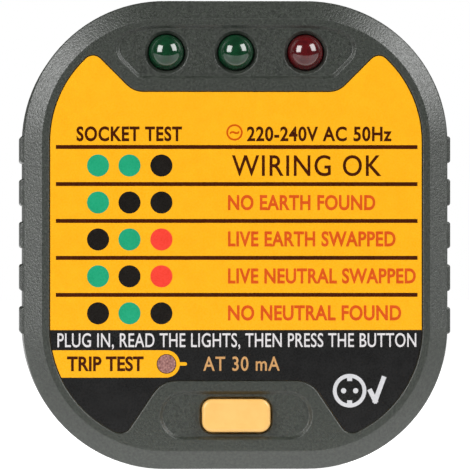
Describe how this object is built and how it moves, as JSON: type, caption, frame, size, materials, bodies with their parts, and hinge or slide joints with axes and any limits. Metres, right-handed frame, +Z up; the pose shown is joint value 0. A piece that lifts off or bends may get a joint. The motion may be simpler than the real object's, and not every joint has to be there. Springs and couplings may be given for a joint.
{
  "type": "outlet tester plug",
  "caption": "Palm-sized mains socket tester: rounded two-part housing with indicator lenses and a trip-test button on the face, and a round earthed pin plug on the back.",
  "frame": {"origin": "middle of the plug nose's end face, which seats against the bottom of the socket's recess", "axes": "+X to the right of a person who looks at the face, +Y out of the back along the pins, +Z up"},
  "size_m": [0.068, 0.0682, 0.074],
  "materials": {
    "housing_plastic": "spark-eroded moulded ABS, dark grey-green",
    "nose_plastic": "moulded flame-retardant nylon, dark grey",
    "label_film": "satin printed polyester film, amber yellow",
    "green_lens": "clear-polished dark green acrylic",
    "red_lens": "clear-polished dark red acrylic",
    "trip_window": "frosted pink acrylic",
    "button_plastic": "satin moulded ABS, pale orange",
    "zinc_steel": "zinc-plated steel screw",
    "nickel_pin": "nickel-plated brass",
    "clamp_plastic": "black glass-filled nylon",
    "earth_brass": "plated spring brass",
    "board_laminate": "green solder mask on glass laminate",
    "green_led": "tinted epoxy",
    "red_led": "tinted epoxy",
    "spacer_nylon": "natural nylon",
    "tinned_lead": "tinned copper wire",
    "resistor_lacquer": "blue lacquer",
    "diode_epoxy": "black moulded epoxy",
    "cement_ceramic": "white ceramic case",
    "solder": "solder",
    "switch_plastic": "black phenolic",
    "switch_steel": "plated steel plate",
    "plunger_plastic": "red nylon",
    "contact_brass": "silvered brass",
    "spring_steel": "spring steel",
    "brown_insulation": "brown PVC insulation",
    "blue_insulation": "blue PVC insulation",
    "earth_insulation": "green and yellow PVC insulation",
    "bare_copper": "tinned copper strands"
  },
  "bodies": {
    "housing": {"front_cover": "housing_plastic", "rear_cover": "housing_plastic", "plug_nose": "nose_plastic", "nose_retainer": "clamp_plastic", "nose_screws": "zinc_steel", "face_label": "label_film", "left_lens": "green_lens", "middle_lens": "green_lens", "right_lens": "red_lens", "trip_lens": "trip_window", "housing_screws": "zinc_steel", "live_pin": "nickel_pin", "neutral_pin": "nickel_pin", "pin_clamp": "clamp_plastic", "clamp_screws": "zinc_steel", "earth_strap": "earth_brass", "earth_tag": "earth_brass", "earth_screw": "zinc_steel", "circuit_board": "board_laminate", "board_screws": "zinc_steel", "left_led": "green_led", "middle_led": "green_led", "right_led": "red_led", "trip_led": "red_led", "led_spacers": "spacer_nylon", "led_leads": "tinned_lead", "dropper_resistors": "resistor_lacquer", "dropper_leads": "tinned_lead", "rectifier_diodes": "diode_epoxy", "diode_leads": "tinned_lead", "load_resistor": "cement_ceramic", "load_resistor_leads": "tinned_lead", "solder_joints": "solder", "switch_body": "switch_plastic", "switch_cover": "switch_steel", "switch_spring": "spring_steel", "switch_terminals": "tinned_lead", "live_wire": "brown_insulation", "neutral_wire": "blue_insulation", "earth_wire": "earth_insulation", "wire_tails": "bare_copper"},
    "test_button": {"test_button": "button_plastic"},
    "switch_plunger": {"switch_plunger": "plunger_plastic", "contact_bridge": "contact_brass"}
  },
  "joints": [
    {"name": "test_button_press", "type": "slide", "parent": "housing", "child": "test_button", "axis": [0, 1, 0], "range_m": [0, 0.001], "stiffness_N_per_m": 1000, "springref_m": -0.001},
    {"name": "switch_plunger_press", "type": "slide", "parent": "housing", "child": "switch_plunger", "axis": [0, 1, 0], "range_m": [0, 0.001], "deforming": ["switch_spring"]}
  ],
  "couplings": [
    {"joint": "switch_plunger_press", "follows": "test_button_press", "ratio": 1}
  ]
}
